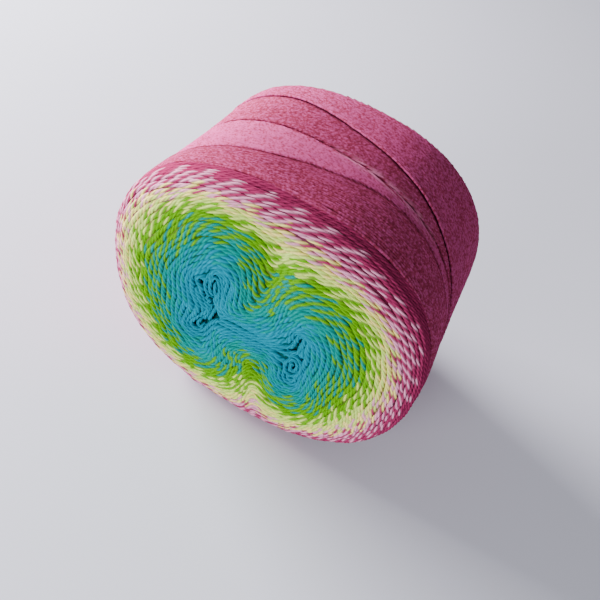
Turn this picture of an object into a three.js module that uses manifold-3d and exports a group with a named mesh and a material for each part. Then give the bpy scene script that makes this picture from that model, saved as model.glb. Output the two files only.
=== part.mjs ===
// A cake of gradient cotton yarn, machine wound and lying on its side.
// Lengths are millimetres. +X is to the right, +Y runs from the front end to the rear end along the
// winding axis, and +Z is up. The origin is the middle of the underside.

import * as THREE from 'three';
import { mergeVertices } from 'three/addons/utils/BufferGeometryUtils.js';
import Module from 'manifold-3d';

const wasm = await Module();
wasm.setup();

// Size of the winding at the middle of its length
const RADIUS = 65;
const SECTION_POWER = 2.38; // 2 would be a circle, a larger number is squarer
const LENGTH = 97;
const TAPER = 0.06; // the front end is larger than the rear end by this share
const LEAN = -0.07; // how far each millimetre of height moves the winding back
const SADDLE = 0.7; // how far the side sinks between its two shoulders
const FLAT_DEPTH = 3; // how much of the round underside the yarn's own weight presses flat

// The two ends: a shallow dome, then a round shoulder
const DOME_REACH = 34;
const FRONT = { side: -1, domeDepth: 3.5, shoulderDepth: 7, shoulderInset: 11 };
const REAR = { side: 1, domeDepth: 4, shoulderDepth: 9, shoulderInset: 13 };

// The winding was pulled off its core, so the hole has closed into creases shaped like an H, which
// show at both ends. Each has a narrow slit at the bottom of a soft dip.
const CREASES = [
  { slitDepth: 9, slitWidth: 2.2, dip: 2.4, path: [[-16, 22], [-19, 8], [-17, -2], [-21, -14]] },
  { slitDepth: 6, slitWidth: 1.6, dip: 1.6, path: [[19, 13], [18, 4], [20, -6], [20, -14]] },
  { slitDepth: 4, slitWidth: 1.2, dip: 1.2, path: [[-18, -1], [0, 0], [18.5, 3]] },
];
const DIP_HALF_WIDTH = 5.5;
const SLIT_CURVE_SEGMENTS = 5;

// Valleys above and below the middle, where the turns dip between the two lobes of the H
const VALLEYS = [
  { side: 1, x: 2, halfWidth: 6, depth: 2.6, starts: 8, deepest: 34, ends: 62 },
  { side: -1, x: 5, halfWidth: 7, depth: 2.6, starts: 5, deepest: 26, ends: 60 },
];

// Edges of the last bands of yarn around the side. Around is measured over the top, from its middle
// towards +X, and along is the place on the winding axis. A positive step rises towards the rear.
const BAND_EDGES = [
  {
    step: -0.9,
    path: [
      { around: -180, along: -10 },
      { around: -90, along: -24 },
      { around: -20, along: -18 },
      { around: 0, along: -13.5 },
      { around: 28, along: -8.6 },
      { around: 75, along: -14 },
      { around: 130, along: -26 },
    ],
  },
  {
    step: 1.1,
    path: [
      { around: -180, along: 20 },
      { around: -110, along: 31 },
      { around: -36, along: 26.5 },
      { around: 0, along: 18 },
      { around: 30, along: 9.5 },
      { around: 60, along: -1 },
      { around: 85, along: -9 },
      { around: 130, along: -16 },
    ],
  },
];
const EDGE_FADE_START = 100; // beyond this distance around, the edges sink into the side
const EDGE_FADE_END = 165;
const EDGE_WIDTH = 1.2;
const SHOULDER_FADE_START = 6; // and so they do near the shoulder that they rise towards
const SHOULDER_FADE_END = 22;

// How finely the surface is divided
const SECTORS = 72;
const OUTLINE_SAMPLES = 2880; // fine steps from which the sectors' equal steps are measured
const RING_BANDS = [
  { to: 12, step: 4 },
  { to: 33, step: 3 },
  { to: 53, step: 4 },
];
const SHOULDER_RINGS = 6;
const ROWS_BETWEEN_EDGES = 3;

const YARN_COLOUR = 0xc75082;
const YARN_ROUGHNESS = 0.92;

const clamp01 = (value) => Math.min(Math.max(value, 0), 1);

function smoothStep(from, to, value) {
  const t = clamp01((value - from) / (to - from));
  return t * t * (3 - 2 * t);
}

// Distance from the axis, counted so that every point of the outline is RADIUS away.
function sectionRadius(x, z) {
  const sum = Math.abs(x) ** SECTION_POWER + Math.abs(z) ** SECTION_POWER;
  return sum ** (1 / SECTION_POWER);
}

function distanceToPath(x, z, path) {
  let nearest = Infinity;
  for (let i = 1; i < path.length; i += 1) {
    const [ax, az] = path[i - 1];
    const dx = path[i][0] - ax;
    const dz = path[i][1] - az;
    const t = clamp01(((x - ax) * dx + (z - az) * dz) / (dx * dx + dz * dz));
    nearest = Math.min(nearest, Math.hypot(x - ax - t * dx, z - az - t * dz));
  }
  return nearest;
}

function dipDepth(x, z) {
  const depths = CREASES.map(
    ({ dip, path }) => dip * Math.exp(-((distanceToPath(x, z, path) / DIP_HALF_WIDTH) ** 2)),
  );
  return Math.max(...depths);
}

function valleyDepth(x, z) {
  let total = 0;
  for (const valley of VALLEYS) {
    const height = valley.side * z;
    const rise = smoothStep(valley.starts, valley.deepest, height);
    const fall = 1 - smoothStep(valley.deepest, valley.ends, height);
    const across = Math.exp(-(((x - valley.x) / valley.halfWidth) ** 2));
    total += valley.depth * rise * fall * across;
  }
  return total;
}

// How far the end's surface lies behind its foremost plane.
function endDepth(x, z, end) {
  const inset = RADIUS - sectionRadius(x, z);
  const dome = end.domeDepth * clamp01(1 - inset / DOME_REACH) ** 2;
  const turn = clamp01(1 - inset / end.shoulderInset);
  const shoulder = end.shoulderDepth * (1 - Math.sqrt(1 - turn * turn));
  return dome + shoulder + dipDepth(x, z) + valleyDepth(x, z);
}

// Points of the outline at equal steps around, starting at the top and going towards +X.
function makeOutline() {
  const points = [];
  for (let i = 0; i <= OUTLINE_SAMPLES; i += 1) {
    const angle = (2 * Math.PI * i) / OUTLINE_SAMPLES;
    const x = Math.sin(angle);
    const z = Math.cos(angle);
    const scale = RADIUS / sectionRadius(x, z);
    points.push(new THREE.Vector2(x * scale, z * scale));
  }
  const lengths = [0];
  for (let i = 1; i <= OUTLINE_SAMPLES; i += 1) {
    lengths.push(lengths[i - 1] + points[i].distanceTo(points[i - 1]));
  }
  const perimeter = lengths[OUTLINE_SAMPLES];
  const outline = [];
  let j = 0;
  for (let sector = 0; sector < SECTORS; sector += 1) {
    const around = (perimeter * sector) / SECTORS;
    while (lengths[j + 1] <= around) j += 1;
    const t = (around - lengths[j]) / (lengths[j + 1] - lengths[j]);
    const point = points[j].clone().lerp(points[j + 1], t);
    outline.push({ x: point.x, z: point.y, around: around > perimeter / 2 ? around - perimeter : around });
  }
  return { outline, perimeter };
}

const { outline, perimeter } = makeOutline();

// A band edge's place along the axis, as a smooth closed curve around the side.
function edgeAlong(edge, around) {
  const path = edge.path;
  const last = path[path.length - 1];
  const closed = [
    { around: last.around - perimeter, along: last.along },
    ...path,
    { around: path[0].around + perimeter, along: path[0].along },
  ];
  let i = 1;
  while (closed[i].around < around && i < closed.length - 1) i += 1;
  const a = closed[i - 1];
  const b = closed[i];
  const slopeAt = (k) => {
    const before = closed[Math.max(k - 1, 0)];
    const after = closed[Math.min(k + 1, closed.length - 1)];
    return (after.along - before.along) / (after.around - before.around);
  };
  const width = b.around - a.around;
  const t = (around - a.around) / width;
  const nearA = (1 + 2 * t) * (1 - t) ** 2 * a.along + t * (1 - t) ** 2 * width * slopeAt(i - 1);
  const nearB = (3 - 2 * t) * t ** 2 * b.along - (1 - t) * t ** 2 * width * slopeAt(i);
  return nearA + nearB;
}

// How far the side stands out at a place, from the saddle and from the bands of yarn.
function sideOffset(around, along) {
  const fade = 1 - smoothStep(EDGE_FADE_START, EDGE_FADE_END, Math.abs(around));
  let offset = -SADDLE * Math.cos((Math.PI * clamp01(Math.abs(along) / (LENGTH / 2))) / 2) ** 2;
  for (const edge of BAND_EDGES) {
    const past = (along - edgeAlong(edge, around)) / EDGE_WIDTH;
    const rise = smoothStep(-1, 1, edge.step > 0 ? past : -past);
    const reach = edge.step > 0 ? LENGTH / 2 - along : LENGTH / 2 + along;
    const shoulderFade = smoothStep(SHOULDER_FADE_START, SHOULDER_FADE_END, reach);
    offset += Math.abs(edge.step) * fade * rise * shoulderFade;
  }
  return offset;
}

// Where the end's surface meets the side.
function shoulderAlong(end) {
  return end.side * (LENGTH / 2 - end.domeDepth - end.shoulderDepth);
}

// Insets from the outline of an end's rings, from the middle outwards.
function ringInsets(end) {
  const insets = [];
  let radius = 0;
  for (const band of RING_BANDS) {
    while (radius + band.step <= band.to) {
      radius += band.step;
      insets.push(RADIUS - radius);
    }
  }
  for (let i = 1; i < SHOULDER_RINGS; i += 1) {
    insets.push(end.shoulderInset * (1 - Math.sin((Math.PI / 2) * (i / SHOULDER_RINGS))));
  }
  return insets;
}

function endRing(end, inset) {
  return outline.map((point) => {
    const scale = (RADIUS - inset) / RADIUS;
    const x = point.x * scale;
    const z = point.z * scale;
    return new THREE.Vector3(x, end.side * (LENGTH / 2 - endDepth(x, z, end)), z);
  });
}

// Rows across the side. Two rows follow each band edge, just before and just after its step.
function sideRows() {
  const start = shoulderAlong(FRONT);
  const finish = shoulderAlong(REAR);
  const stations = outline.map(({ around }) => {
    const stops = [start];
    for (const edge of BAND_EDGES) {
      const along = edgeAlong(edge, around);
      stops.push(along - EDGE_WIDTH, along + EDGE_WIDTH);
    }
    stops.push(finish);
    const places = [];
    for (let i = 1; i < stops.length; i += 1) {
      const parts = i % 2 === 1 ? ROWS_BETWEEN_EDGES : 1;
      for (let part = 0; part < parts; part += 1) {
        places.push(THREE.MathUtils.lerp(stops[i - 1], stops[i], part / parts));
      }
    }
    places.push(finish);
    return places;
  });
  return stations[0].map((_, row) =>
    outline.map((point, sector) => {
      const along = stations[sector][row];
      const scale = (RADIUS + sideOffset(point.around, along)) / RADIUS;
      return new THREE.Vector3(point.x * scale, along, point.z * scale);
    }),
  );
}

// Taper, lean and the flat underside, on a point given about the middle of the winding.
function settle(point) {
  const taper = 1 - TAPER * (point.y / LENGTH);
  const z = (RADIUS + point.z) * taper;
  const lean = LEAN * (z - RADIUS);
  return new THREE.Vector3(point.x * taper, point.y + lean, Math.max(z, FLAT_DEPTH) - FLAT_DEPTH);
}

function roundWinding() {
  const rings = [
    ...ringInsets(FRONT).map((inset) => endRing(FRONT, inset)),
    ...sideRows(),
    ...ringInsets(REAR).reverse().map((inset) => endRing(REAR, inset)),
  ];
  const frontMiddle = new THREE.Vector3(0, -LENGTH / 2 + endDepth(0, 0, FRONT), 0);
  const rearMiddle = new THREE.Vector3(0, LENGTH / 2 - endDepth(0, 0, REAR), 0);
  const points = [frontMiddle, ...rings.flat(), rearMiddle];
  const at = (ring, sector) => 1 + ring * SECTORS + (sector % SECTORS);
  const triangles = [];
  for (let sector = 0; sector < SECTORS; sector += 1) {
    triangles.push(0, at(0, sector + 1), at(0, sector));
    for (let ring = 1; ring < rings.length; ring += 1) {
      const [a, b] = [at(ring - 1, sector), at(ring - 1, sector + 1)];
      const [c, d] = [at(ring, sector), at(ring, sector + 1)];
      triangles.push(a, b, c, b, d, c);
    }
    const last = rings.length - 1;
    triangles.push(at(last, sector), at(last, sector + 1), points.length - 1);
  }
  const geometry = new THREE.BufferGeometry();
  const positions = points.flatMap((point) => point.toArray());
  geometry.setAttribute('position', new THREE.Float32BufferAttribute(positions, 3));
  geometry.setIndex(triangles);
  return geometry;
}

// One straight stretch of a slit: a bar with round ends, sunk into the front or the rear end.
function slitStretch([ax, az], [bx, bz], crease, end) {
  const half = crease.slitWidth / 2;
  const length = Math.hypot(bx - ax, bz - az);
  const shape = new THREE.Shape();
  shape.absarc(0, 0, half, Math.PI / 2, (3 * Math.PI) / 2);
  shape.absarc(length, 0, half, -Math.PI / 2, Math.PI / 2);
  const height = 2 * crease.slitDepth;
  const geometry = new THREE.ExtrudeGeometry(shape, {
    depth: height,
    bevelEnabled: false,
    curveSegments: SLIT_CURVE_SEGMENTS,
  });
  geometry.translate(0, 0, -height / 2);
  geometry.rotateX(Math.PI / 2);
  geometry.rotateY(-Math.atan2(bz - az, bx - ax));
  geometry.translate(ax, (end.side * LENGTH) / 2, az);
  return geometry;
}

function toSolid(geometry) {
  geometry.deleteAttribute('normal');
  geometry.deleteAttribute('uv');
  const merged = mergeVertices(geometry);
  const vertProperties = new Float32Array(merged.attributes.position.array);
  const triVerts = new Uint32Array(merged.index.array);
  return new wasm.Manifold(new wasm.Mesh({ numProp: 3, vertProperties, triVerts }));
}

function woundYarnGeometry() {
  let solid = toSolid(roundWinding());
  for (const end of [FRONT, REAR]) {
    for (const crease of CREASES) {
      for (let i = 1; i < crease.path.length; i += 1) {
        solid = solid.subtract(toSolid(slitStretch(crease.path[i - 1], crease.path[i], crease, end)));
      }
    }
  }
  const mesh = solid.getMesh();
  const settled = [];
  for (let i = 0; i < mesh.vertProperties.length; i += 3) {
    settled.push(...settle(new THREE.Vector3().fromArray(mesh.vertProperties, i)).toArray());
  }
  const geometry = new THREE.BufferGeometry();
  geometry.setAttribute('position', new THREE.Float32BufferAttribute(settled, 3));
  geometry.setIndex([...mesh.triVerts]);
  return mergeVertices(geometry);
}

const geometry = woundYarnGeometry();
geometry.computeBoundingBox();
const middle = geometry.boundingBox.getCenter(new THREE.Vector3());
geometry.computeVertexNormals();

const woundYarn = new THREE.Mesh(
  geometry,
  new THREE.MeshStandardMaterial({ color: YARN_COLOUR, roughness: YARN_ROUGHNESS, metalness: 0 }),
);
woundYarn.name = 'wound_yarn';
woundYarn.position.set(-middle.x, -middle.y, 0);

const yarnCake = new THREE.Group();
yarnCake.add(woundYarn);

export default yarnCake;
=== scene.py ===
"""A cake of gradient cotton yarn lying on its side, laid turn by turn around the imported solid.

The functions that lay the yarn work in millimetres about the middle of the winding: x to the right,
y from the front end to the rear end, z up. Blender's meshes are in metres, in the frame's own place.
"""

import math
from bisect import bisect_right

import bpy
from mathutils import Matrix, Vector, noise


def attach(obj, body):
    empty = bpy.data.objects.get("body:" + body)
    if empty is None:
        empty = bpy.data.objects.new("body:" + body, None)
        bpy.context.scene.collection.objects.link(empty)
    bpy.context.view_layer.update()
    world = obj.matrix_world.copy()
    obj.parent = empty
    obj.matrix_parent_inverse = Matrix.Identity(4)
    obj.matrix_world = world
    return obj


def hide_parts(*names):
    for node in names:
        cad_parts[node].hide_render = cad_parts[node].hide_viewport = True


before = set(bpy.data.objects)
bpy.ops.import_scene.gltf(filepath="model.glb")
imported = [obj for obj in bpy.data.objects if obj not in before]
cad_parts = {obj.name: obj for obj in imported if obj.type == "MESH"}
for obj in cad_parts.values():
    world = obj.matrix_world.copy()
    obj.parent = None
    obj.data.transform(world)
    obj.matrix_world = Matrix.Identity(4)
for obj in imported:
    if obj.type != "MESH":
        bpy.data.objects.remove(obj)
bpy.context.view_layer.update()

MM = 0.001

# Size and form of the winding, as in the solid
RADIUS = 65
SECTION_POWER = 2.38
LENGTH = 97
TAPER = 0.06
LEAN = -0.07
SADDLE = 0.7
FLAT_DEPTH = 3
DOME_REACH = 34
# The coarse turns of an end go on over its shoulder and along the side as far as its rim.
FRONT = {"side": -1, "dome": 3.5, "shoulder": 7, "inset": 11, "rim": 33.5, "seed": 7, "colour_shift": 0}
REAR = {"side": 1, "dome": 4, "shoulder": 9, "inset": 13, "rim": 37, "seed": 31, "colour_shift": 3}
DIPS = [
    {"depth": 2.4, "path": [(-16, 22), (-19, 8), (-17, -2), (-21, -14)]},
    {"depth": 1.6, "path": [(19, 13), (18, 4), (20, -6), (20, -14)]},
    {"depth": 1.2, "path": [(-18, -1), (0, 0), (18.5, 3)]},
]
DIP_HALF_WIDTH = 5.5
VALLEYS = [
    {"side": 1, "x": 2, "half_width": 6, "depth": 2.6, "starts": 8, "deepest": 34, "ends": 62},
    {"side": -1, "x": 5, "half_width": 7, "depth": 2.6, "starts": 5, "deepest": 26, "ends": 60},
]

# Edges of the last bands of yarn around the side: places around, from the top towards +x, and along.
FRONT_BAND = {
    "step": 0.3,
    "path": [(-180, -10), (-90, -24), (-20, -18), (0, -13.5), (28, -8.6), (75, -14), (130, -26)],
}
REAR_BAND = {
    "step": 0.45,
    "path": [(-180, 20), (-110, 31), (-36, 26.5), (0, 18), (30, 9.5), (60, -1), (85, -9), (130, -16)],
}
# The seam between the two families of slanting threads that show between the bands
MIDDLE_SEAM = {
    "path": [(-180, 5), (-110, 6), (-40, 4), (0, 1), (20, -1), (60, -6), (100, -14), (150, -8)],
}
# A band's raised step fades around towards the underside, and along towards the end.
EDGE_FADE_START = 100
EDGE_FADE_END = 165
SHOULDER_FADE_START = 6
SHOULDER_FADE_END = 22

# The turns on an end follow the creases of the closed core near them, and the outline far from them.
# Each point of a crease gives x, z and half the width of the gap that stays open there.
DEEP_CREASES = [
    [(-16, 22, 0), (-17.5, 13, 0), (-19.2, 9, 0.3), (-17.6, 4, 0.3), (-15, -0.5, 0.5), (-17.8, -5, 0.2),
     (-20, -9, 0.4), (-22, -13.6, 0.7)],
    [(-19, 11, 0.1), (-21, 16, 0.3)],
    [(19, 13, 0), (18.2, 5, 0.2), (20, -5, 0), (20, -14, 0)],
    [(18.2, 4.5, 0.2), (15, 2.6, 0.1)],
]
CREASES = [*DEEP_CREASES, [(-15, -0.5, 0.05), (0, 0.5, 0), (16, 3, 0)]]
WIDE_CREASES = [
    [(-15, 30, 0), (-24, 12, 0), (-22, -6, 0), (-18, -22, 0)],
    [(20, 22, 0), (22, 4, 0), (19, -18, 0)],
    [(-22, -4, 0), (0, 3, 0), (22, 9, 0)],
]
NOTCHES = [
    {"side": 1, "x": -3, "lean": 0.12, "half_width": 5, "rise": 3, "window": (14, 30, 46, 60)},
    {"side": -1, "x": 3.5, "lean": 0.1, "half_width": 6, "rise": 2.5, "window": (4, 14, 24, 44)},
    {"side": -1, "x": 3.5, "lean": 0.1, "half_width": 7, "rise": 5, "window": (20, 46, 47, 62)},
]
# The turns' corners are rounded more and more: beside a crease, further out and far out. The offsets
# keep the levels even, and the blend and the reach say where one rounding gives way to the next.
CREASE_ROUNDING = 0.45
TURN_ROUNDING = 3
TURN_OFFSET = 0.5
TURN_BLEND = (2, 6)
WIDE_ROUNDING = 5
WIDE_OFFSET = 5
WIDE_REACH = 22
# The outline's level, and the levels between which the turns take on its form
OUTLINE_LEVEL = 45
OUTLINE_BLEND_START = 22
OUTLINE_BLEND_END = 40
# How wide the deep creases are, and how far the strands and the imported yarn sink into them
CREASE_WIDTH = 1.6
CREASE_SINK = 0.9
PACKED_CREASE_SINK = 3

# The strand: four threads twisted together. Its turns stand closer at the rim, and narrow between two
# levels. Around the side the threads lie flat, and are laid one by one.
PLIES = 4
POINTS_PER_PLY = 3
STRAND_PITCH = 2.07
RIM_PITCH = 1.5
PITCH_NARROWS = (26, 46)
STRAND_RADIUS = 1.14
STRAND_SINK = 0.92 * STRAND_RADIUS
UNEVENNESS = 0.06
TWIST_LENGTH = 11.5
FIRST_LEVEL = 0.95
SIDE_PITCH = 0.86
SIDE_RADIUS = 0.5
# Strands between two turns that spread: how much of a turn each one lags, and the spacing that lets
# it show, as a share of the pitch
FILL_INS = ((0.5, 1.27), (0.25, 2.4), (0.75, 2.4))
# Lengths of the steps along a strand or thread
FRONT_STEP = 1.15
REAR_STEP = 1.7
SIDE_STEP = 2.5
# Painted shade for the shadow in a seam: how much darker the threads beside it are, and how far it
# reaches
SEAM_PAINTED_SHADE = 4.5
SEAM_WIDTH = 0.7

# Thread colours from the core outwards. On average each one starts at its level, and the four threads
# of a strand change to it one after the other, a spread apart.
COLOURS = [
    {"level": -20, "spread": 0, "rgb": (0, 0.25, 0.35)},
    {"level": 9, "spread": 2.4, "rgb": (0, 0.27, 0.235)},
    {"level": 18.8, "spread": 3.9, "rgb": (0.12, 0.38, 0)},
    {"level": 28.4, "spread": 2.4, "rgb": (0.60, 0.80, 0.15)},
    {"level": 33.2, "spread": 1.8, "rgb": (0.90, 0.78, 0.22)},
    {"level": 36, "spread": 1.9, "rgb": (0.80, 0.33, 0.50)},
    {"level": 40.6, "spread": 3.6, "rgb": (0.36, 0.032, 0.115)},
]
LAST_LEVEL = 56
# Per millimetre of x and z: the colours lie further out at the top left, and wander a little.
COLOUR_LEAN = (0.036, -0.045)
COLOUR_WANDER = 0.9
COLOUR_WANDER_LENGTH = 12

# Loops and folds of strand at the core's creases: a path in x and z, the strand's radius and its height
CORE_FOLDS = [
    {"radius": 0.86, "height": -0.2, "path": [
        (-18.4, 6.8), (-19.8, 10.2), (-20.5, 14.2), (-20.1, 18.2), (-18.9, 21.6), (-17.3, 23.2),
        (-15.8, 23), (-14.7, 21), (-13.6, 18), (-13, 14.5), (-12.8, 11)]},
    {"radius": 0.84, "height": 0.1, "path": [
        (-16.8, 9), (-18.4, 12), (-18.8, 15), (-18.4, 18.4), (-17.3, 20.6), (-16.1, 20.5), (-15.2, 18.2),
        (-14.6, 15), (-14.4, 11.5)]},
    {"radius": 0.8, "height": -0.1, "path": [(-15.6, 8.5), (-16.7, 13), (-16.9, 16.6), (-16.3, 18)]},
    {"radius": 0.72, "height": -0.6, "path": [(-20.3, 19.5), (-21.4, 18), (-20.9, 16.7), (-19.7, 16.2)]},
    {"radius": 0.7, "height": 0, "path": [
        (-18, 9), (-19.4, 7.6), (-19.3, 6.4), (-18.1, 6.2), (-18.9, 4.9), (-18.2, 3.8), (-17, 4.2)]},
    {"radius": 0.84, "height": -0.7, "path": [(-17.9, 4), (-18, -1), (-19, -5), (-20.3, -9.5)]},
    {"radius": 0.84, "height": -0.9, "path": [(-16.4, 3.6), (-16.7, -1), (-17.8, -5.5), (-18.4, -8)]},
    {"radius": 0.8, "height": -0.7, "path": [
        (-20.2, -8), (-21.6, -10.6), (-22.1, -13.2), (-21, -14.2), (-20, -12)]},
    {"radius": 1, "height": -0.5, "path": [
        (-15.2, -0.5), (-10, -0.15), (0, 0.55), (8, 1.75), (15.6, 2.95)]},
    {"radius": 0.84, "height": -0.5, "path": [(11.5, 3.4), (15, 4.6), (16.9, 7), (17.6, 11)]},
    {"radius": 0.84, "height": -0.6, "path": [(15.2, 0.6), (17.6, 2.6), (19.4, 4.8), (19.2, 9)]},
    {"radius": 0.84, "height": 0.1, "path": [
        (15.8, 0.6), (18.6, 2), (20.9, 1.4), (22.4, -1.4), (22.7, -5), (21.8, -8.8), (19.8, -11),
        (17.5, -9.6), (16.4, -6), (17, -2.5), (18.6, -0.4), (20.3, -1.2), (21, -4), (20.4, -7),
        (19.4, -7.8), (18.5, -5.4), (18.9, -3.4), (19.6, -4.6)]},
]

# The camera, as an orbit around a point over the middle of the winding
CAMERA = {"azimuth": -13.05, "elevation": 48.87, "roll": 18.37, "distance": 306.4, "target": (0, 0, 50)}
LENS = 42
SENSOR = 36
PICTURE = 600
OPTICAL_CENTRE = (297.4, 282.9)


# The form

def clamp01(value):
    return min(max(value, 0.0), 1.0)


def smooth_step(start, end, value):
    t = clamp01((value - start) / (end - start))
    return t * t * (3 - 2 * t)


def mix(a, b, t):
    return a + (b - a) * t


def section_radius(x, z):
    """Distance from the axis, counted so that every point of the outline is RADIUS away."""
    above_zero = 1e-12
    return (abs(x) ** SECTION_POWER + abs(z) ** SECTION_POWER + above_zero) ** (1 / SECTION_POWER)


def path_distance(x, z, path):
    """Distance to a path, less the half gap where its points give one."""
    nearest = math.inf
    for a, b in zip(path, path[1:]):
        dx, dz = b[0] - a[0], b[1] - a[1]
        t = clamp01(((x - a[0]) * dx + (z - a[1]) * dz) / (dx * dx + dz * dz))
        gap = mix(a[2], b[2], t) if len(a) == 3 else 0
        nearest = min(nearest, math.hypot(x - a[0] - t * dx, z - a[1] - t * dz) - gap)
    return nearest


def soft_least(values, rounding):
    least = min(values)
    return least - rounding * math.log(sum(math.exp((least - value) / rounding) for value in values))


def hollow_depth(x, z, end):
    """How far the dome, the dips over the creases and the valleys lie behind the foremost plane."""
    inset = RADIUS - section_radius(x, z)
    dome = end["dome"] * clamp01(1 - inset / DOME_REACH) ** 2
    dip_depth = 0
    for dip in DIPS:
        across = path_distance(x, z, dip["path"]) / DIP_HALF_WIDTH
        dip_depth = max(dip_depth, dip["depth"] * math.exp(-(across ** 2)))
    valley_depth = 0
    for valley in VALLEYS:
        height = valley["side"] * z
        rise = smooth_step(valley["starts"], valley["deepest"], height)
        fall = 1 - smooth_step(valley["deepest"], valley["ends"], height)
        across = (x - valley["x"]) / valley["half_width"]
        valley_depth += valley["depth"] * rise * fall * math.exp(-(across ** 2))
    return dome + dip_depth + valley_depth


def section_normal(x, z, radius):
    """The x and z of the outward direction, before it is brought to length one."""
    power = SECTION_POWER - 1
    return math.copysign((abs(x) / radius) ** power, x), math.copysign((abs(z) / radius) ** power, z)


def end_place(x, z, end):
    """A point of an end's surface and the outward normal there."""
    radius = section_radius(x, z)
    turn = clamp01(1 - (RADIUS - radius) / end["inset"])
    rest = math.sqrt(1 - turn * turn)
    step = 0.05
    dx = (hollow_depth(x + step, z, end) - hollow_depth(x - step, z, end)) / (2 * step)
    dz = (hollow_depth(x, z + step, end) - hollow_depth(x, z - step, end)) / (2 * step)
    fall = end["shoulder"] / end["inset"] * turn
    outward_x, outward_z = section_normal(x, z, radius)
    normal = Vector((rest * dx + fall * outward_x, end["side"] * rest, rest * dz + fall * outward_z))
    depth = hollow_depth(x, z, end) + end["shoulder"] * (1 - rest)
    return Vector((x, end["side"] * (LENGTH / 2 - depth), z)), normal.normalized()


def make_outline(samples=2880):
    """Points of the outline at even bearings, and their distance around from the top towards +x."""
    points = []
    for i in range(samples + 1):
        bearing = 2 * math.pi * i / samples
        scale = RADIUS / section_radius(math.sin(bearing), math.cos(bearing))
        points.append((math.sin(bearing) * scale, math.cos(bearing) * scale))
    around = [0.0]
    for a, b in zip(points, points[1:]):
        around.append(around[-1] + math.dist(a, b))
    return points, around


OUTLINE, OUTLINE_AROUND = make_outline()
PERIMETER = OUTLINE_AROUND[-1]


def outline_place(around):
    """A point of the outline and the outward normal there."""
    around %= PERIMETER
    i = min(bisect_right(OUTLINE_AROUND, around), len(OUTLINE) - 1)
    t = (around - OUTLINE_AROUND[i - 1]) / (OUTLINE_AROUND[i] - OUTLINE_AROUND[i - 1])
    x, z = (mix(a, b, t) for a, b in zip(OUTLINE[i - 1], OUTLINE[i]))
    outward_x, outward_z = section_normal(x, z, RADIUS)
    return x, z, Vector((outward_x, 0, outward_z)).normalized()


def around_of(x, z):
    """The place around the side that has a point's bearing."""
    bearing = math.atan2(x, z) % (2 * math.pi)
    place = bearing / (2 * math.pi) * (len(OUTLINE) - 1)
    i = min(int(place), len(OUTLINE) - 2)
    return mix(OUTLINE_AROUND[i], OUTLINE_AROUND[i + 1], place - i)


def signed_around(around):
    """The place around, from minus half the perimeter to half."""
    around %= PERIMETER
    return around - PERIMETER if around > PERIMETER / 2 else around


def seam_along(seam, around):
    """A seam's place along the axis, as a smooth closed curve around the side."""
    around = signed_around(around)
    path = seam["path"]
    closed = [(path[-1][0] - PERIMETER, path[-1][1]), *path, (path[0][0] + PERIMETER, path[0][1])]
    i = 1
    while closed[i][0] < around and i < len(closed) - 1:
        i += 1

    def slope(k):
        before, after = closed[max(k - 1, 0)], closed[min(k + 1, len(closed) - 1)]
        return (after[1] - before[1]) / (after[0] - before[0])

    a, b = closed[i - 1], closed[i]
    width = b[0] - a[0]
    t = (around - a[0]) / width
    near_a = (1 + 2 * t) * (1 - t) ** 2 * a[1] + t * (1 - t) ** 2 * width * slope(i - 1)
    near_b = (3 - 2 * t) * t ** 2 * b[1] - (1 - t) * t ** 2 * width * slope(i)
    return near_a + near_b


def side_place(around, along, band=None):
    """A point of the side and its normal, raised where the yarn belongs to one of the last bands."""
    x, z, normal = outline_place(around)
    offset = -SADDLE * math.cos(math.pi / 2 * clamp01(abs(along) / (LENGTH / 2))) ** 2
    if band:
        fade = 1 - smooth_step(EDGE_FADE_START, EDGE_FADE_END, abs(signed_around(around)))
        reach = LENGTH / 2 + along if band is FRONT_BAND else LENGTH / 2 - along
        offset += band["step"] * fade * smooth_step(SHOULDER_FADE_START, SHOULDER_FADE_END, reach)
    scale = (RADIUS + offset) / RADIUS
    return Vector((x * scale, along, z * scale)), normal


def shoulder_along(end):
    return end["side"] * (LENGTH / 2 - end["dome"] - end["shoulder"])


def settle(point, radius=0):
    """Taper, lean and the flat underside, where a thread of that radius lies on the ground."""
    taper = 1 - TAPER * point.y / LENGTH
    z = (RADIUS + point.z) * taper
    lean = LEAN * (z - RADIUS)
    return Vector((point.x * taper, point.y + lean, max(z, FLAT_DEPTH + radius) - FLAT_DEPTH))


def find_middle():
    """The middle of the winding's box, which stands at the frame's origin."""
    sectors = 90
    side_step, end_step = 8, 2.5
    points = []
    for i in range(sectors):
        for k in range(-4, 5):
            for band in (FRONT_BAND, REAR_BAND):
                points.append(settle(side_place(PERIMETER * i / sectors, side_step * k, band)[0]))
    for i in range(-20, 21):
        for k in range(-20, 21):
            x, z = end_step * i, end_step * k
            if section_radius(x, z) < RADIUS:
                points += [settle(end_place(x, z, end)[0]) for end in (FRONT, REAR)]
    low = Vector(map(min, *points))
    high = Vector(map(max, *points))
    return Vector(((low.x + high.x) / 2, (low.y + high.y) / 2, 0))


MIDDLE = find_middle()


# The turns on the ends

def drift(x, y, z):
    """A smooth random number between about -1 and 1."""
    return 2 * noise.noise(Vector((x, y, z)))


def crease_depth(x, z):
    """One on the deep creases, falling to nothing beside them."""
    gap = min(path_distance(x, z, crease) for crease in DEEP_CREASES)
    return math.exp(-((max(gap, 0) / CREASE_WIDTH) ** 2))


def colour_level(level, point, end):
    """The level whose colours a turn has at a point."""
    lean = COLOUR_LEAN[0] * point.x + COLOUR_LEAN[1] * point.z
    across, up = point.x / COLOUR_WANDER_LENGTH, point.z / COLOUR_WANDER_LENGTH
    return level + lean + end["colour_shift"] + COLOUR_WANDER * drift(across, up, end["seed"])


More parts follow.
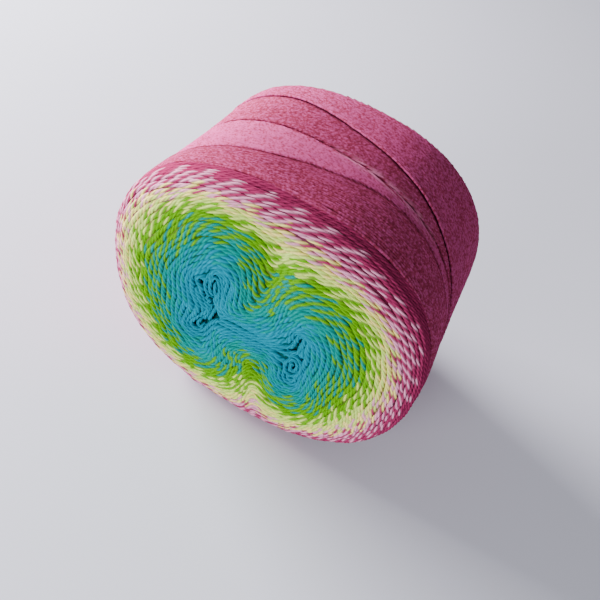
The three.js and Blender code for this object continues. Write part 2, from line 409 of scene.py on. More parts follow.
def turn_level(x, z):
    """How far out a turn lies, in millimetres from the creases. The outline is OUTLINE_LEVEL."""
    distances = [path_distance(x, z, crease) for crease in CREASES]
    close = soft_least(distances, CREASE_ROUNDING)
    loose = soft_least(distances, TURN_ROUNDING) + TURN_OFFSET
    near = mix(close, loose, smooth_step(*TURN_BLEND, close))
    wide_distances = [path_distance(x, z, crease) for crease in WIDE_CREASES]
    wide = soft_least(wide_distances, WIDE_ROUNDING) + WIDE_OFFSET
    level = mix(near, wide, smooth_step(0, WIDE_REACH, near))
    blend = smooth_step(OUTLINE_BLEND_START, OUTLINE_BLEND_END, level)
    rise = 0
    for notch in NOTCHES:
        height = notch["side"] * z
        starts, full, fades, ends = notch["window"]
        window = smooth_step(starts, full, height) * (1 - smooth_step(fades, ends, height))
        across = (x - notch["x"] - notch["lean"] * height) / notch["half_width"]
        rise += notch["rise"] * window * math.exp(-(across ** 2))
    inset = RADIUS - section_radius(x, z)
    return mix(level, OUTLINE_LEVEL - inset, blend) + rise


def level_slope(x, z):
    """The level at a point, and how it rises along x and along z."""
    step = 0.02
    level = turn_level(x, z)
    return level, (turn_level(x + step, z) - level) / step, (turn_level(x, z + step) - level) / step


def trace_turns(step, lag=0.0):
    """One continuous path outwards, a pitch further at each turn. A lag in turns starts it further out.

    Each place gives x, z, the way outwards, the level, and the turns' spacing as a share of the pitch.
    """
    x, z, level = 3.0, 2.0, FIRST_LEVEL + lag * STRAND_PITCH
    corrections = 3
    least_steepness = 0.04
    sharpest_stride = 0.4
    places = []
    heading = None
    while level < OUTLINE_BLEND_END:
        for _ in range(corrections):
            here, dx, dz = level_slope(x, z)
            steepness = max(dx * dx + dz * dz, least_steepness)
            x += (level - here) * dx / steepness
            z += (level - here) * dz / steepness
        size = math.hypot(dx, dz)
        outwards = (dx / size, dz / size)
        places.append({"x": x, "z": z, "out": outwards, "level": level, "spacing": 1 / size})
        new_heading = math.atan2(-dx, dz)
        bend = 0 if heading is None else abs(math.remainder(new_heading - heading, 2 * math.pi))
        heading = new_heading
        stride = step * mix(1, sharpest_stride, smooth_step(0.25, 0.9, bend))
        x += dz / size * stride
        z -= dx / size * stride
        turn_length = 210 + 4.4 * level
        level += pitch_at(level) * stride / turn_length
    return places


def pitch_at(level):
    """The turns' spacing, which narrows towards the rim where they are wound tighter."""
    return mix(STRAND_PITCH, RIM_PITCH, smooth_step(*PITCH_NARROWS, level))


def stretches(places, wide_enough, margin=0.88, shortest=4):
    """The runs of places where the turns stand that far apart.

    A run goes on a little way to where they stand closer, by the margin. Each place is told how far
    it is from the run's nearer end, as a share of the length of the dive there.
    """
    dive = 4
    runs, run = [], []
    for place in [*places, None]:
        if place and place["spacing"] > wide_enough * margin:
            run.append(place)
        else:
            if len(run) >= shortest and max(reached["spacing"] for reached in run) > wide_enough:
                runs.append(run)
            run = []
    for run in runs:
        for i, place in enumerate(run):
            place["from_end"] = min(i, len(run) - 1 - i) / dive
    return runs


# The strands on an end

def lay(point, normal, radius, **facts):
    """One place on a strand: its centre in metres, in the frame, and what its material reads."""
    settled = (settle(point, radius) - MIDDLE) * MM
    return {"at": settled, "normal": normal, "radius": radius, **facts}


def end_strand(places, end, buried=False):
    """A strand over an end's surface. A buried one dives under its neighbours at both ends."""
    strand = []
    seed = end["seed"]
    narrowest, widest = 0.86, 1.24
    for place in places:
        x, z, level = place["x"], place["z"], place["level"]
        # It wanders less beside the creases, and not at all where the rim's strand takes over.
        free = smooth_step(OUTLINE_BLEND_END, OUTLINE_BLEND_END - 0.5, level)
        loose = free * smooth_step(0, 8, level)
        long_wave = 0.30 * drift(x / 9, z / 9, level / 3 + seed)
        short_wave = 0.18 * drift(x / 4, z / 4, level + seed)
        shift = loose * (long_wave + short_wave)
        out_x, out_z = place["out"]
        x, z = x + out_x * shift, z + out_z * shift
        spacing = min(max(place["spacing"], narrowest), widest)
        radius = STRAND_RADIUS * pitch_at(level) / STRAND_PITCH * spacing
        radius *= 1 + UNEVENNESS * drift(x / 5, z / 5, level - seed)
        sink = STRAND_SINK - 0.32 * free * drift(x / 8, z / 8, level * 0.9 + 2 * seed)
        sink += CREASE_SINK * crease_depth(x, z)
        if buried:
            shown = smooth_step(0, 1, place["from_end"])
            radius *= mix(0.55, 1, shown)
            sink += mix(1.6, 0.1, shown)
        point, normal = end_place(x, z, end)
        strand.append(lay(point - sink * normal, normal, radius, level=colour_level(level, point, end)))
    return strand


def rim_strand(last, end, step):
    """The same strand going on over the shoulder and a little way along the side.

    It overlaps the strand on the face by a few steps, and only then begins to wander.
    """
    bends = 64
    arcs = [0.0]
    for i in range(bends):
        bend = math.pi / 2 * (i + 0.5) / bends
        length = math.hypot(end["inset"] * math.cos(bend), end["shoulder"] * math.sin(bend))
        arcs.append(arcs[-1] + length * math.pi / 2 / bends)
    inset = RADIUS - section_radius(last["x"], last["z"])
    bend = math.asin(clamp01((end["inset"] - inset) / end["inset"]))
    first = bend / (math.pi / 2) * bends
    arc = mix(arcs[int(first)], arcs[int(first) + 1], first % 1)
    level, start = last["level"], around_of(last["x"], last["z"])
    overlap = 3 * step
    around = start - overlap
    back = pitch_at(level) * overlap / PERIMETER
    arc -= back
    level -= back
    seed = end["seed"]
    band = FRONT_BAND if end is FRONT else REAR_BAND
    strand = []
    side_start = abs(shoulder_along(end))
    while side_start - (arc - arcs[-1]) > end["rim"]:
        around += step
        pitch = pitch_at(level)
        onward = pitch * step / PERIMETER
        arc += onward
        level += onward
        free = smooth_step(0, 60, around - start)
        wander = 0.34 * free * drift(around / 16, level / 3, seed)
        if arc + wander < arcs[-1]:
            i = bisect_right(arcs, arc + wander) - 1
            bend = math.pi / 2 * (i + (arc + wander - arcs[i]) / (arcs[i + 1] - arcs[i])) / bends
            x, z, _ = outline_place(around)
            scale = (RADIUS - end["inset"] * (1 - math.sin(bend))) / RADIUS
            point, normal = end_place(x * scale, z * scale, end)
        else:
            along = side_start - (arc + wander - arcs[-1])
            point, normal = side_place(around, end["side"] * along, band)
        left = side_start - (arc - arcs[-1]) - end["rim"]
        shown = smooth_step(0, 0.1, left)
        radius = STRAND_RADIUS * pitch / STRAND_PITCH * mix(0.7, 1, shown)
        radius *= 1 + UNEVENNESS * drift(around / 7, level, seed)
        sink = mix(1.7, STRAND_SINK, shown) - 0.25 * free * drift(around / 13, level, 3 * seed)
        strand.append(lay(point - sink * normal, normal, radius, level=colour_level(level, point, end)))
    return strand


def between(a, b, c, d, t):
    """A smooth curve's place from b to c, which comes from a and goes on to d."""
    bend = 2 * a - 5 * b + 4 * c - d
    twist = 3 * (b - c) + d - a
    return b + t / 2 * (c - a + t * (bend + t * twist))


def core_fold(fold, end):
    """One loop or fold at the core: a smooth path whose ends dive under the other strands."""
    path = fold["path"]
    before = [2 * a - b for a, b in zip(path[0], path[1])]
    after = [2 * a - b for a, b in zip(path[-1], path[-2])]
    path = [before, *path, after]
    spans = len(path) - 3
    steps = 6
    core_level = 3.0
    strand = []
    for i in range(spans * steps + 1):
        k = min(i // steps, spans - 1)
        t = i / steps - k
        x, z = (between(*values, t) for values in zip(*path[k:k + 4]))
        point, normal = end_place(x, z, end)
        shown = smooth_step(0, 5, i) * smooth_step(0, 4, spans * steps - i)
        height = fold["height"] - mix(1.8, 0.35, shown)
        strand.append(lay(point + height * normal, normal, fold["radius"], level=core_level))
    return strand


# The threads around the side

def side_stretch(line, band, start, finish, inside, width=1.0, tone=0.0):
    """One thread along the side, in the stretches where it shows, diving under at each end.

    The line gives its place along for each place around, and inside how far it lies within its layer.
    The width is a number, or a function of the place around and along that gives one.
    """
    # The last argument is painted shading: a family of threads drawn lighter or darker for how its slant
    # takes the light.
    hidden = -2.5
    found, strand = [], []
    for i in range(int((finish - start) / SIDE_STEP) + 1):
        around = start + i * SIDE_STEP
        along = line(around)
        margin = inside(around, along)
        if margin > hidden:
            scale = width(around, along) if callable(width) else width
            along += 0.14 * drift(around / 14, along / 3, 5)
            point, normal = side_place(around, along, band)
            dive = smooth_step(1, -1.2, margin)
            radius = SIDE_RADIUS * scale * (1 + 0.08 * drift(around / 5, along * 2, 3))
            sink = 0.75 * radius - 0.1 * drift(around / 9, along, 11) + 1.5 * dive
            pale = 0 if band else pale_share(around, along)
            # Painted shade: a thread beside a seam is darkened to stand for the shadow in the seam's
            # groove.
            beside = max(seam_distance(around, along, band, margin), 0) / SEAM_WIDTH
            shade = SEAM_PAINTED_SHADE * clamp01(1 - 2 * pale) * math.exp(-(beside ** 2))
            strand.append(lay(point - sink * normal, normal, radius, tone=tone - shade, pale=pale))
        elif strand:
            found.append(strand)
            strand = []
    found.append(strand)
    return [strand for strand in found if len(strand) > 3]


def seam_distance(around, along, band, margin):
    """How far a thread lies from the seam whose painted shade darkens it. No seam's painted shade falls
    on the rear band.
    """
    if band is FRONT_BAND:
        return front_edge(around) - along
    return math.inf if band else margin


def front_edge(around):
    return seam_along(FRONT_BAND, around)


def rear_edge(around):
    return seam_along(REAR_BAND, around)


def middle_edge(around):
    return seam_along(MIDDLE_SEAM, around)


def pale_share(around, along):
    """How pale the worn threads are beside the middle seam, on the top."""
    place = signed_around(around)
    window = smooth_step(-4, 8, place) * (1 - smooth_step(38, 52, place))
    beside = math.exp(-(((along - middle_edge(around)) / 2.6) ** 2))
    return 0.55 * window * beside * clamp01(0.3 + 1.5 * drift(around / 4, along, 2))


def front_band_threads():
    """The front band: one thread that leaves the rim and comes to lie along the band's edge.

    Its turns stand further apart at the rim than at the edge.
    """
    rim = -FRONT["rim"] - 2.2
    edge_gap = 0.3
    turns = 27
    coarse = 0.5
    narrowest, widest = 0.45, 1.3

    def line(around):
        share = min(around / PERIMETER / turns, 1)
        return mix(rim, front_edge(around) - edge_gap, share * (1 + coarse * (1 - share)))

    def width(around, along):
        share = min(around / PERIMETER / turns, 1)
        spacing = (front_edge(around) - rim) / turns * (1 + coarse * (1 - 2 * share))
        return min(max(spacing / SIDE_PITCH, narrowest), widest)

    def inside(around, along):
        return along + FRONT["rim"] + 0.2

    # Painted shading: this band's threads are drawn darker for how their slant takes the light.
    return side_stretch(line, FRONT_BAND, 0, PERIMETER * turns, inside, width, tone=-0.5)


def rear_band_threads():
    """The rear band: one thread that starts at the bottom of its edge and goes on to the rear rim."""
    start = PERIMETER / 2
    edge_gap = 0.4
    turns = 64

    def line(around):
        slope = (rear_edge(around + 1) - rear_edge(around - 1)) / 2
        turn = (around - start) / PERIMETER
        return rear_edge(around) + edge_gap + turn * SIDE_PITCH * math.hypot(1, slope)

    def inside(around, along):
        return REAR["rim"] + 1 - along

    return side_stretch(line, REAR_BAND, start, start + turns * PERIMETER, inside)


def under_threads(lower, upper, slope, tone):
    """Straight slanting threads of an earlier layer, which show between two seams."""
    threads = []
    spacing = SIDE_PITCH * math.hypot(1, slope)
    half_length = 40
    rows = int((half_length + abs(slope) * PERIMETER / 2) / spacing)
    start, finish = PERIMETER / 2 + 1, PERIMETER * 1.5 - 1
    for row in range(-rows, rows + 1):

        def line(around):
            return row * spacing + slope * signed_around(around)

        def inside(around, along):
            return min(along - lower(around), upper(around) - along)

        threads += side_stretch(line, None, start, finish, inside, tone=tone)
    return threads


# Guides and meshes

def add_object(name, data):
    made = bpy.data.objects.new(name, data)
    bpy.context.scene.collection.objects.link(made)
    return made


def guide_object(name, strands):
    """The strands' centre lines as edges of a mesh, with what the node tree reads at each point."""
    points = [place for strand in strands for place in strand]
    edges, first = [], 0
    for row, strand in enumerate(strands):
        edges += [(i, i + 1) for i in range(first, first + len(strand) - 1)]
        first += len(strand)
        for place in strand:
            place["row"] = row
    mesh = bpy.data.meshes.new(name)
    mesh.from_pydata([place["at"] for place in points], edges, [])
    for key in ("radius", "level", "pale", "tone", "row"):
        attribute = mesh.attributes.new(key, "FLOAT", "POINT")
        attribute.data.foreach_set("value", [float(place.get(key, 0)) for place in points])
    attribute = mesh.attributes.new("outward", "FLOAT_VECTOR", "POINT")
    attribute.data.foreach_set("vector", [value for place in points for value in place["normal"]])
    return add_object(name, mesh)


class Graph:
    """Adds nodes to a tree. An input's value is either a constant or the socket that feeds it."""

    def __init__(self, tree):
        self.tree = tree

    def node(self, kind, inputs=None, **settings):
        made = self.tree.nodes.new(kind)
        for key, value in settings.items():
            setattr(made, key, value)
        for key, value in (inputs or {}).items():
            self.feed(made.inputs[key], value)
        return made

    def feed(self, socket, value):
        if isinstance(value, bpy.types.NodeSocket):
            self.tree.links.new(value, socket)
        else:
            socket.default_value = value

    def math(self, operation, *values):
        return self.node("ShaderNodeMath", dict(enumerate(values)), operation=operation).outputs[0]

    def vector(self, operation, *values):
        inputs = dict(enumerate(values))
        return self.node("ShaderNodeVectorMath", inputs, operation=operation).outputs[0]

    def scaled(self, vector, factor):
        inputs = {0: vector, "Scale": factor}
        return self.node("ShaderNodeVectorMath", inputs, operation="SCALE").outputs[0]

    def mixed(self, share, first, second):
        """A colour that turns into a second one as the share rises to one."""
        return self.node("ShaderNodeMix", {0: share, 6: first, 7: second}, data_type="RGBA").outputs[2]

    def noise_at(self, place, scale, detail):
        inputs = {"Vector": place, "Scale": scale, "Detail": detail}
        return self.node("ShaderNodeTexNoise", inputs).outputs[0]

    def attribute(self, name, output="Fac"):
        """What a mesh stores under that name, for a material."""
        return self.node("ShaderNodeAttribute", attribute_name=name).outputs[output]

    def named(self, name, data_type="FLOAT"):
        """What a mesh stores under that name, for a geometry tree."""
        inputs = {"Name": name}
        return self.node("GeometryNodeInputNamedAttribute", inputs, data_type=data_type).outputs[0]

    def stored(self, geometry, name, value, data_type):
        inputs = {"Geometry": geometry, "Name": name, "Value": value}
        return self.node("GeometryNodeStoreNamedAttribute", inputs, data_type=data_type).outputs[0]

    def captured(self, geometry, fields):
        """A node that keeps each field's value, given with its type, on the geometry."""
        made = self.node("GeometryNodeCaptureAttribute", {"Geometry": geometry})
        for i, (label, (kind, value)) in enumerate(fields.items()):
            made.capture_items.new(kind, label)
            self.feed(made.inputs[i + 1], value)
        return made

    def ring(self, points):
        inputs = {"Resolution": points, "Radius": 1.0}
        return self.node("GeometryNodeCurvePrimitiveCircle", inputs).outputs["Curve"]


def new_tree(kind, name, inputs, outputs):
    """A node tree with the given inputs and outputs, as its graph and its two end nodes."""
    tree = bpy.data.node_groups.new(name, kind)
    for label, (socket_kind, value) in inputs.items():
        socket = tree.interface.new_socket(label, in_out="INPUT", socket_type="NodeSocket" + socket_kind)
        if value is not None:
            socket.default_value = value
    for label, socket_kind in outputs.items():
        tree.interface.new_socket(label, in_out="OUTPUT", socket_type="NodeSocket" + socket_kind)
    graph = Graph(tree)
    return graph, graph.node("NodeGroupInput"), graph.node("NodeGroupOutput")


def new_geometry_tree(name, inputs):
    inputs = {"Geometry": ("Geometry", None), **inputs}
    return new_tree("GeometryNodeTree", name, inputs, {"Geometry": "Geometry"})


def finish_tree(graph, start, end, geometry):
    """Realizes the geometry, shades it smooth and gives it the material."""
    realized = graph.node("GeometryNodeRealizeInstances", {"Geometry": geometry}).outputs[0]
    smooth = graph.node("GeometryNodeSetShadeSmooth", {"Geometry": realized}).outputs[0]
    inputs = {"Geometry": smooth, "Material": start.outputs["Material"]}
    graph.feed(end.inputs[0], graph.node("GeometryNodeSetMaterial", inputs).outputs[0])


def thread_colour_at(graph, level, ply):
    """The colour of one of the strand's threads. Opposite threads change colour one after the other."""
    second_pair = graph.math("MODULO", ply, 2)
    second_of_pair = graph.math("GREATER_THAN", ply, 1.5)
    order = graph.math("MULTIPLY_ADD", second_pair, 2, second_of_pair)
    colour = (*COLOURS[0]["rgb"], 1)
    for stop in COLOURS[1:]:
        first_change = stop["level"] - 1.5 * stop["spread"]
        threshold = graph.math("MULTIPLY_ADD", order, stop["spread"], first_change)
        past = graph.math("GREATER_THAN", level, threshold)
        colour = graph.mixed(past, colour, (*stop["rgb"], 1))
    return colour


def guide_curve(graph, start):
    """The guides as curves that lie with their normals outwards, and the length along them."""
    curve = graph.node("GeometryNodeMeshToCurve", {"Mesh": start.outputs["Geometry"]}).outputs[0]
    inputs = {"Curve": curve, "Normal": graph.named("outward", "FLOAT_VECTOR")}
    curve = graph.node("GeometryNodeSetCurveNormal", inputs, mode="FREE").outputs[0]
    return curve, graph.node("GeometryNodeSplineParameter").outputs["Length"]


def swept(graph, curve, ring, length):
    """The closed mesh of a ring swept along the guides.

    Its attribute fibre gives the place on the ring, and the length along the guide in centimetres.
    Each guide's length starts from a number of its own, so that no two look alike.
    """
    row_offset = 7.3
    path = graph.captured(curve, {"Length": ("FLOAT", length)})
    position = graph.node("GeometryNodeInputPosition").outputs[0]
    profile = graph.captured(ring, {"Place": ("VECTOR", position)})
    strand = graph.node("GeometryNodeCurveToMesh", {
        "Curve": path.outputs["Geometry"],
        "Profile Curve": profile.outputs["Geometry"],
        "Scale": graph.math("MULTIPLY", graph.named("radius"), MM),
        "Fill Caps": True,
    }).outputs[0]
    centimetres = graph.math("MULTIPLY", path.outputs["Length"], 100)
    along = graph.math("MULTIPLY_ADD", graph.named("row"), row_offset, centimetres)
    onward = graph.node("ShaderNodeCombineXYZ", {"Z": along}).outputs[0]
    fibre = graph.vector("ADD", profile.outputs["Place"], onward)
    return graph.stored(strand, "fibre", fibre, "FLOAT_VECTOR")


def strand_tree():
    """Turns guides into strands of threads twisted together, with painted shade in the grooves between
    the threads.
    """
    graph, start, end = new_geometry_tree("twist_strands", {
        "Twist Length": ("Float", TWIST_LENGTH * MM),
        "Groove Depth": ("Float", 0.28),
        "Groove Painted Shade": ("Float", 0.42),
        "Material": ("Material", None),
    })
    curve, length = guide_curve(graph, start)
    turns = graph.math("DIVIDE", length, start.outputs["Twist Length"])
    tilt = graph.math("MULTIPLY", turns, -2 * math.pi)
    curve = graph.node("GeometryNodeSetCurveTilt", {"Curve": curve, "Tilt": tilt}).outputs[0]

    index = graph.node("GeometryNodeInputIndex").outputs[0]
    in_groove = graph.math("LESS_THAN", graph.math("MODULO", index, POINTS_PER_PLY), 0.5)
    scale = graph.math("SUBTRACT", 1, graph.math("MULTIPLY", in_groove, start.outputs["Groove Depth"]))
    position = graph.node("GeometryNodeInputPosition").outputs[0]
    inputs = {"Geometry": graph.ring(POINTS_PER_PLY * PLIES), "Position": graph.scaled(position, scale)}
    ring = graph.node("GeometryNodeSetPosition", inputs).outputs[0]
    ply = graph.math("FLOOR", graph.math("DIVIDE", graph.math("ADD", index, 0.5), POINTS_PER_PLY))
    profile = graph.captured(ring, {"Ply": ("FLOAT", ply), "Groove": ("FLOAT", in_groove)})
    strand = swept(graph, curve, profile.outputs["Geometry"], length)

    level, ply, groove = graph.named("level"), profile.outputs["Ply"], profile.outputs["Groove"]
    beside = graph.math("MODULO", graph.math("ADD", ply, PLIES - 1), PLIES)
    colour = thread_colour_at(graph, level, ply)
    colour_beside = thread_colour_at(graph, level, beside)
    blended = graph.mixed(graph.math("MULTIPLY", groove, 0.5), colour, colour_beside)
    # Painted shade: the grooves between the threads are darkened to stand for the shadow in them.
    shade = graph.math("SUBTRACT", 1, graph.math("MULTIPLY", groove, start.outputs["Groove Painted Shade"]))
    stored = graph.stored(strand, "thread_colour", graph.scaled(blended, shade), "FLOAT_COLOR")
    finish_tree(graph, start, end, stored)
    return graph.tree


def thread_tree():
    """Turns guides into single threads."""
    inputs = {"Sides": ("Int", 6), "Material": ("Material", None)}
    graph, start, end = new_geometry_tree("draw_threads", inputs)
    curve, length = guide_curve(graph, start)
    finish_tree(graph, start, end, swept(graph, curve, graph.ring(start.outputs["Sides"]), length))
    return graph.tree


def strand_piece(strands, tree, name, material):
    """The plain mesh that the tree makes of the strands, as an object of its own."""
    guide = guide_object(name + "_guides", strands)
    modifier = guide.modifiers.new(tree.name, "NODES")
    modifier.node_group = tree
    for item in tree.interface.items_tree:
        if item.name == "Material":
            modifier[item.identifier] = material
    evaluated = guide.evaluated_get(bpy.context.evaluated_depsgraph_get())
    mesh = bpy.data.meshes.new_from_object(evaluated)
    mesh.name = name
    bpy.data.objects.remove(guide)
    return add_object(name, mesh)


def packed_piece(name, sink, material):
    """The turns below those that show, as one closed skin."""
    sectors = 144
    flat_rings, shoulder_rings, side_rings = 36, 8, 20
    side_sink = 0.7 * sink
    side_reach = 36
    ground_gap = 0.4

    def insets(end):
        width = RADIUS - end["inset"]
        flat = [RADIUS - i * width / flat_rings for i in range(1, flat_rings + 1)]
        bends = [math.pi / 2 * i / shoulder_rings for i in range(1, shoulder_rings)]
        return flat + [end["inset"] * (1 - math.sin(bend)) for bend in bends]

    def end_vertex(x, z, end):
        point, normal = end_place(x, z, end)
        return point - (sink + PACKED_CREASE_SINK * crease_depth(x, z)) * normal

    def ring(end, inset):
        scale = (RADIUS - inset) / RADIUS
        around = [outline_place(PERIMETER * i / sectors) for i in range(sectors)]
        return [end_vertex(x * scale, z * scale, end) for x, z, _ in around]

    def side_ring(along):
        places = [side_place(PERIMETER * i / sectors, along) for i in range(sectors)]
        return [point - side_sink * normal for point, normal in places]

    rings = [ring(FRONT, inset) for inset in insets(FRONT)]
    start, finish = shoulder_along(FRONT), shoulder_along(REAR)
    rings += [side_ring(mix(start, finish, i / side_rings)) for i in range(side_rings + 1)]
    rings += [ring(REAR, inset) for inset in reversed(insets(REAR))]
    points = [end_vertex(0, 0, FRONT), *[point for row in rings for point in row], end_vertex(0, 0, REAR)]
    last = len(points) - 1
    faces = [(0, 1 + (i + 1) % sectors, 1 + i) for i in range(sectors)]
    for row in range(len(rings) - 1):
        a, b = 1 + row * sectors, 1 + (row + 1) * sectors
        faces += [(a + i, a + (i + 1) % sectors, b + (i + 1) % sectors, b + i) for i in range(sectors)]
    faces += [(last - sectors + i, last - sectors + (i + 1) % sectors, last) for i in range(sectors)]
    mesh = bpy.data.meshes.new(name)
    mesh.from_pydata([(settle(point, ground_gap) - MIDDLE) * MM for point in points], [], faces)
    levels = mesh.attributes.new("level", "FLOAT", "POINT")
    levels.data.foreach_set("value", [
        LAST_LEVEL if abs(point.y) < side_reach else turn_level(point.x, point.z) for point in points
    ])
    mesh.shade_smooth()
    mesh.materials.append(material)
    return add_object(name, mesh)


# Materials

def new_material(name, roughness):
    """A matt material, its graph and its shader with constants set."""
    material = bpy.data.materials.new(name)
    material.use_nodes = True
    material.node_tree.nodes.clear()
    graph = Graph(material.node_tree)
    shader = graph.node("ShaderNodeBsdfPrincipled", {"Roughness": roughness, "Specular IOR Level": 0.0})
    graph.node("ShaderNodeOutputMaterial", {"Surface": shader.outputs[0]})
    return material, graph, shader


def cotton_fibres():
    """Fine uneven fibres: shades a thread's colour and raises its surface."""
    inputs = {"Colour": ("Color", None), "Fibre Scale": ("Float", 4.0), "Shade": ("Float", 0.25)}
    outputs = {"Colour": "Color", "Height": "Float"}
    graph, start, end = new_tree("ShaderNodeTree", "cotton_fibres", inputs, outputs)
    fine = graph.noise_at(graph.attribute("fibre", "Vector"), start.outputs["Fibre Scale"], detail=3.0)
    spot = graph.node("ShaderNodeTexCoord").outputs["Object"]
    broad = graph.noise_at(spot, scale=260.0, detail=2.0)
    uneven = graph.math("ADD", graph.math("MULTIPLY", fine, 0.7), graph.math("MULTIPLY", broad, 0.3))
    strength = graph.math("MULTIPLY", start.outputs["Shade"], 4)
    value = graph.math("MULTIPLY_ADD", graph.math("SUBTRACT", uneven, 0.5), strength, 1)
    graph.feed(end.inputs["Colour"], graph.scaled(start.outputs["Colour"], value))
    graph.feed(end.inputs["Height"], fine)
    return graph.tree


def finish_cotton(graph, shader, fibres, colour, distance):
    """Gives the colour, the fibres' shade and small relief, and the soft bloom of cotton."""
    effect = graph.node("ShaderNodeGroup", node_tree=fibres)
    graph.feed(effect.inputs["Colour"], colour)
    graph.feed(shader.inputs["Base Color"], effect.outputs["Colour"])
    inputs = {"Height": effect.outputs["Height"], "Strength": 0.6, "Distance": distance}
    graph.feed(shader.inputs["Normal"], graph.node("ShaderNodeBump", inputs).outputs[0])
    shader.inputs["Sheen Weight"].default_value = 0.01
    shader.inputs["Sheen Roughness"].default_value = 0.5


def twisted_cotton(fibres):
    """The strands of the ends, in the colours stored on their threads, with the painted shade of their
    grooves.
    """
    material, graph, shader = new_material("twisted_cotton", roughness=0.85)
    colour = graph.attribute("thread_colour", "Color")
    finish_cotton(graph, shader, fibres, colour, 0.15 * MM)
    return material


def side_cotton(fibres):
    """The side's threads, with darker and paler flecks and painted shading, and pale where they are worn.
    """
    material, graph, shader = new_material("side_cotton", roughness=0.85)
    strip = graph.vector("MULTIPLY", graph.attribute("fibre", "Vector"), (0.5, 0.5, 10))
    flecks = graph.noise_at(strip, scale=1.0, detail=2.0)
    # Painted light: the ramp is shifted by the shading painted on each family of threads and beside the
    # seams.
    share = graph.math("MULTIPLY_ADD", graph.attribute("tone"), 0.1, flecks)
    ramp = graph.node("ShaderNodeValToRGB", {"Fac": share})
    stops = ramp.color_ramp.elements
    # The darkest stop is the painted shade that the seams' grooves reach.
    stops[0].position, stops[0].color = 0.02, (0.06, 0.006, 0.016, 1)
    stops[1].position, stops[1].color = 0.6, (0.58, 0.09, 0.275, 1)
    stops.new(0.4).color = (0.35, 0.044, 0.10, 1)
    worn = graph.mixed(graph.attribute("pale"), ramp.outputs[0], (0.88, 0.34, 0.54, 1))
    finish_cotton(graph, shader, fibres, worn, 0.12 * MM)
    return material


def packed_cotton():
    """The yarn seen down between the strands, drawn darker than they are with painted shade."""
    # Painted shade: the yarn's colours are darkened to stand for the shadow down between the strands.
    painted_shade = 0.3
    material, graph, shader = new_material("packed_cotton", roughness=0.95)
    first, last = COLOURS[0]["level"], LAST_LEVEL
    share = graph.math("DIVIDE", graph.math("SUBTRACT", graph.attribute("level"), first), last - first)
    ramp = graph.node("ShaderNodeValToRGB", {"Fac": share})
    stops = ramp.color_ramp.elements
    for i, colour in enumerate(COLOURS):
        stop = stops[i] if i < 2 else stops.new(1)
        stop.position = (colour["level"] - first) / (last - first)
        stop.color = (*(painted_shade * value for value in colour["rgb"]), 1)
    graph.feed(shader.inputs["Base Color"], ramp.outputs[0])
    return material


# The camera, the floor and the light

def place_camera():
    azimuth, elevation, roll = (math.radians(CAMERA[key]) for key in ("azimuth", "elevation", "roll"))
    forward = Vector((
        math.sin(azimuth) * math.cos(elevation),
        math.cos(azimuth) * math.cos(elevation),
        -math.sin(elevation),
    ))
    level_right = Vector((math.cos(azimuth), -math.sin(azimuth), 0))
    level_up = level_right.cross(forward)
    right = level_right * math.cos(roll) + level_up * math.sin(roll)
    up = level_up * math.cos(roll) - level_right * math.sin(roll)
    focal = LENS / SENSOR * PICTURE
    place = Vector(CAMERA["target"]) - MIDDLE - forward * CAMERA["distance"]
    place -= right * (OPTICAL_CENTRE[0] - PICTURE / 2) * CAMERA["distance"] / focal
    place += up * (OPTICAL_CENTRE[1] - PICTURE / 2) * CAMERA["distance"] / focal
    data = bpy.data.cameras.new("camera")
    data.lens = LENS
    data.sensor_width = SENSOR
    camera = add_object("camera", data)
    turned = Matrix((right, up, -forward)).transposed().to_4x4()
    camera.matrix_world = Matrix.Translation(place * MM) @ turned
    bpy.context.scene.camera = camera


def add_floor():
    """A plain pale floor."""
    mesh = bpy.data.meshes.new("floor")
    half = 3.0
    corners = [(-half, -half, 0), (half, -half, 0), (half, half, 0), (-half, half, 0)]
    mesh.from_pydata(corners, [], [(0, 1, 2, 3)])
    material, _, shader = new_material("pale_floor", roughness=0.6)
    shader.inputs["Base Color"].default_value = (0.76, 0.77, 0.87, 1)
    mesh.materials.append(material)
    floor = add_object("floor", mesh)


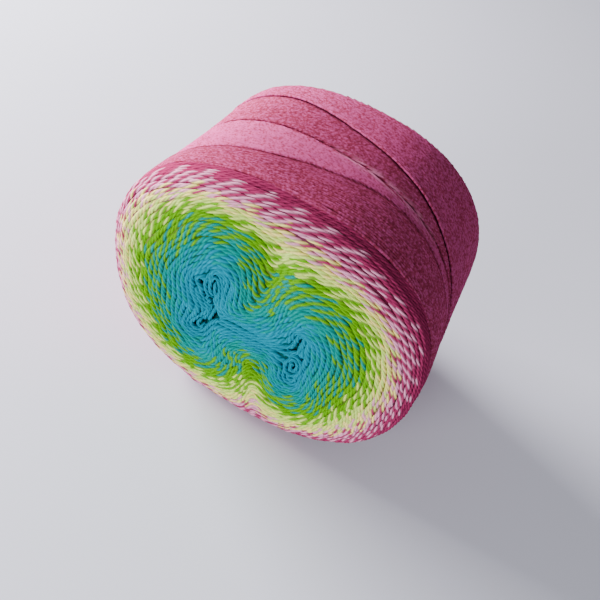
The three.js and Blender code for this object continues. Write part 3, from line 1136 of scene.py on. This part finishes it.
def add_light(name, place, size, power, colour):
    """A square area light that faces the middle of the winding."""
    middle = Vector((0, 0, 0.06))
    data = bpy.data.lights.new(name, "AREA")
    data.size = size
    data.energy = power
    data.color = colour
    light = add_object(name, data)
    light.location = place
    light.rotation_euler = (middle - Vector(place)).to_track_quat("-Z", "Y").to_euler()


def light_scene():
    """Soft light from all around, a window on the left and a weaker light in front."""
    world = bpy.data.worlds.new("studio")
    world.use_nodes = True
    background = world.node_tree.nodes["Background"]
    background.inputs["Color"].default_value = (0.94, 0.94, 1, 1)
    background.inputs["Strength"].default_value = 0.36
    bpy.context.scene.world = world
    add_light("window", (-0.86, 0.14, 0.27), size=0.5, power=40, colour=(1, 0.97, 1))
    add_light("room", (-0.35, -1.1, 0.36), size=0.6, power=14.5, colour=(0.97, 0.98, 1))


# The pieces

def lay_end(end, step):
    """The strands of an end: those on its face, and the one that goes on over the shoulder."""
    turns = trace_turns(step)
    face = [end_strand(turns, end)]
    for lag, wide_enough in FILL_INS:
        for run in stretches(trace_turns(step, lag), wide_enough):
            face.append(end_strand(run, end, buried=True))
    face += [core_fold(fold, end) for fold in CORE_FOLDS]
    return face, [rim_strand(turns[-1], end, step)]


def main():
    place_camera()
    light_scene()
    add_floor()

    fibres = cotton_fibres()
    twisted, side = twisted_cotton(fibres), side_cotton(fibres)
    twist, draw = strand_tree(), thread_tree()
    front_face, front_rim = lay_end(FRONT, FRONT_STEP)
    rear_face, rear_rim = lay_end(REAR, REAR_STEP)
    # Painted shading: one family of slanting threads is drawn darker, the other lighter, for how their
    # slants take the light.
    under = under_threads(middle_edge, rear_edge, slope=0.12, tone=-0.5)
    under += under_threads(front_edge, middle_edge, slope=-0.2, tone=0.6)
    pieces = [
        packed_piece("packed_yarn", 0.95, packed_cotton()),
        strand_piece(front_face, twist, "front_face_strands", twisted),
        strand_piece(front_rim, twist, "front_rim_strands", twisted),
        strand_piece(rear_face, twist, "rear_face_strands", twisted),
        strand_piece(rear_rim, twist, "rear_rim_strands", twisted),
        strand_piece(front_band_threads(), draw, "front_band_threads", side),
        strand_piece(rear_band_threads(), draw, "rear_band_threads", side),
        strand_piece(under, draw, "under_threads", side),
    ]
    for piece in pieces:
        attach(piece, "root")
        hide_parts("wound_yarn")


main()
